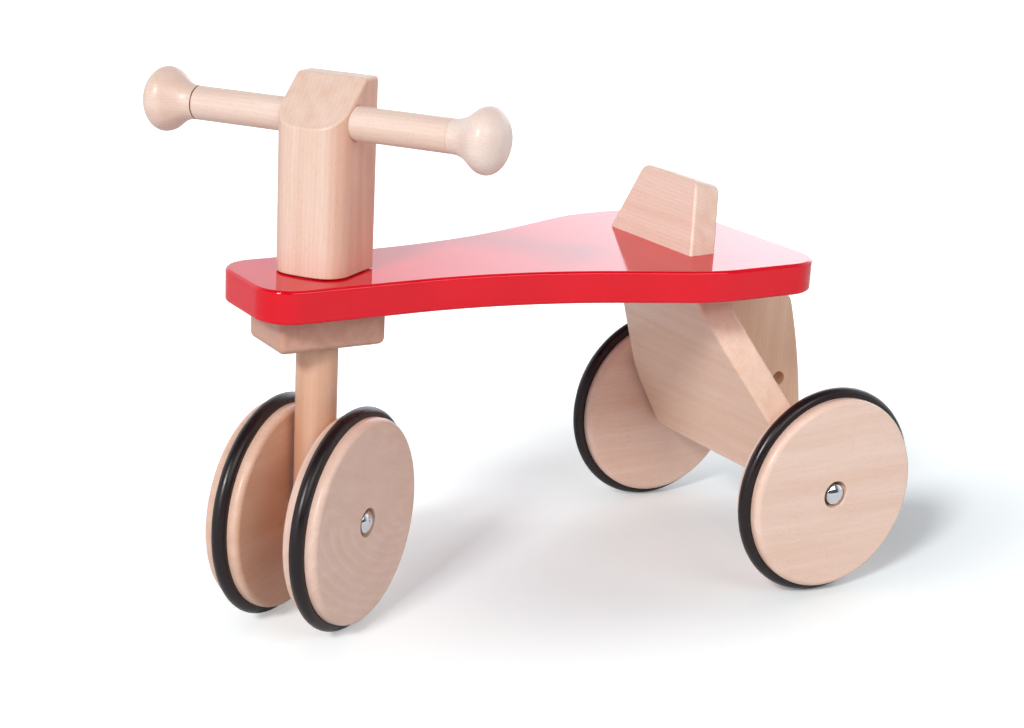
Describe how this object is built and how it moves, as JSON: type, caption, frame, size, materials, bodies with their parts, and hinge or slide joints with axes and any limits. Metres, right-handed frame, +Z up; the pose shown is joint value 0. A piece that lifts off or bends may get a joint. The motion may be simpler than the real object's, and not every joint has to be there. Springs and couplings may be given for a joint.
{
  "type": "wooden four-wheeled ride-on toy",
  "caption": "Wooden toddler ride-on toy with a red lacquered seat board, turning front post with handlebar, and beech wheels with rubber rings",
  "frame": {"origin": "on the floor, under the middle of the bounding box of the toy in its resting pose", "axes": "+X forward, from the rear axle to the steering post; +Y to the rider's left; +Z up"},
  "size_m": [0.5574, 0.264, 0.399],
  "materials": {
    "beech": "smooth sanded beech, clear satin varnish",
    "red_lacquer": "high-gloss red lacquer on wood",
    "rubber_ring": "smooth black rubber, semi-gloss",
    "chrome_cap": "bright chrome",
    "steel": "plain drawn steel rod",
    "zinc_screw": "zinc-plated screw",
    "nylon": "natural white nylon"
  },
  "bodies": {
    "chassis": {"seat_board": "red_lacquer", "seat_stop": "beech", "seat_stop_dowels": "beech", "rear_panel": "beech", "rear_panel_dowels": "beech", "rear_brace": "beech", "rear_brace_dowels": "beech", "bearing_block": "beech", "bearing_block_screws": "zinc_screw", "upper_steering_bush": "nylon", "lower_steering_bush": "nylon", "thrust_washer": "nylon", "rear_axle": "steel", "rear_spacer_left": "nylon", "rear_spacer_right": "nylon", "rear_cap_left": "chrome_cap", "rear_cap_right": "chrome_cap"},
    "steering": {"head_block": "beech", "head_pin": "beech", "steering_shaft": "beech", "steering_stop_pin": "steel", "handlebar": "beech", "handle_knob_left": "beech", "handle_knob_right": "beech", "front_axle": "steel", "front_spacer_left": "nylon", "front_spacer_right": "nylon", "front_cap_left": "chrome_cap", "front_cap_right": "chrome_cap"},
    "rear_wheel_left_body": {"rear_wheel_left": "beech", "rear_tyre_left": "rubber_ring", "rear_hub_bush_left": "nylon"},
    "rear_wheel_right_body": {"rear_wheel_right": "beech", "rear_tyre_right": "rubber_ring", "rear_hub_bush_right": "nylon"},
    "front_wheel_left_body": {"front_wheel_left": "beech", "front_tyre_left": "rubber_ring", "front_hub_bush_left": "nylon"},
    "front_wheel_right_body": {"front_wheel_right": "beech", "front_tyre_right": "rubber_ring", "front_hub_bush_right": "nylon"}
  },
  "joints": [
    {"name": "steering_turn", "type": "hinge", "parent": "chassis", "child": "steering", "pos_m": [0.18664, 0, 0.2505], "axis": [0, 0, 1], "range_deg": [-79.6, 10.4]},
    {"name": "rear_wheel_spin_left", "type": "hinge", "parent": "chassis", "child": "rear_wheel_left_body", "pos_m": [-0.19616, 0.116, 0.0825], "axis": [0, 1, 0], "continuous": true},
    {"name": "rear_wheel_spin_right", "type": "hinge", "parent": "chassis", "child": "rear_wheel_right_body", "pos_m": [-0.19616, -0.116, 0.0825], "axis": [0, 1, 0], "continuous": true},
    {"name": "front_wheel_spin_left", "type": "hinge", "parent": "steering", "child": "front_wheel_left_body", "pos_m": [0.16889, 0.02572, 0.0825], "axis": [-0.5678, 0.8231, 0], "continuous": true},
    {"name": "front_wheel_spin_right", "type": "hinge", "parent": "steering", "child": "front_wheel_right_body", "pos_m": [0.20438, -0.02572, 0.0825], "axis": [-0.5678, 0.8231, 0], "continuous": true}
  ]
}
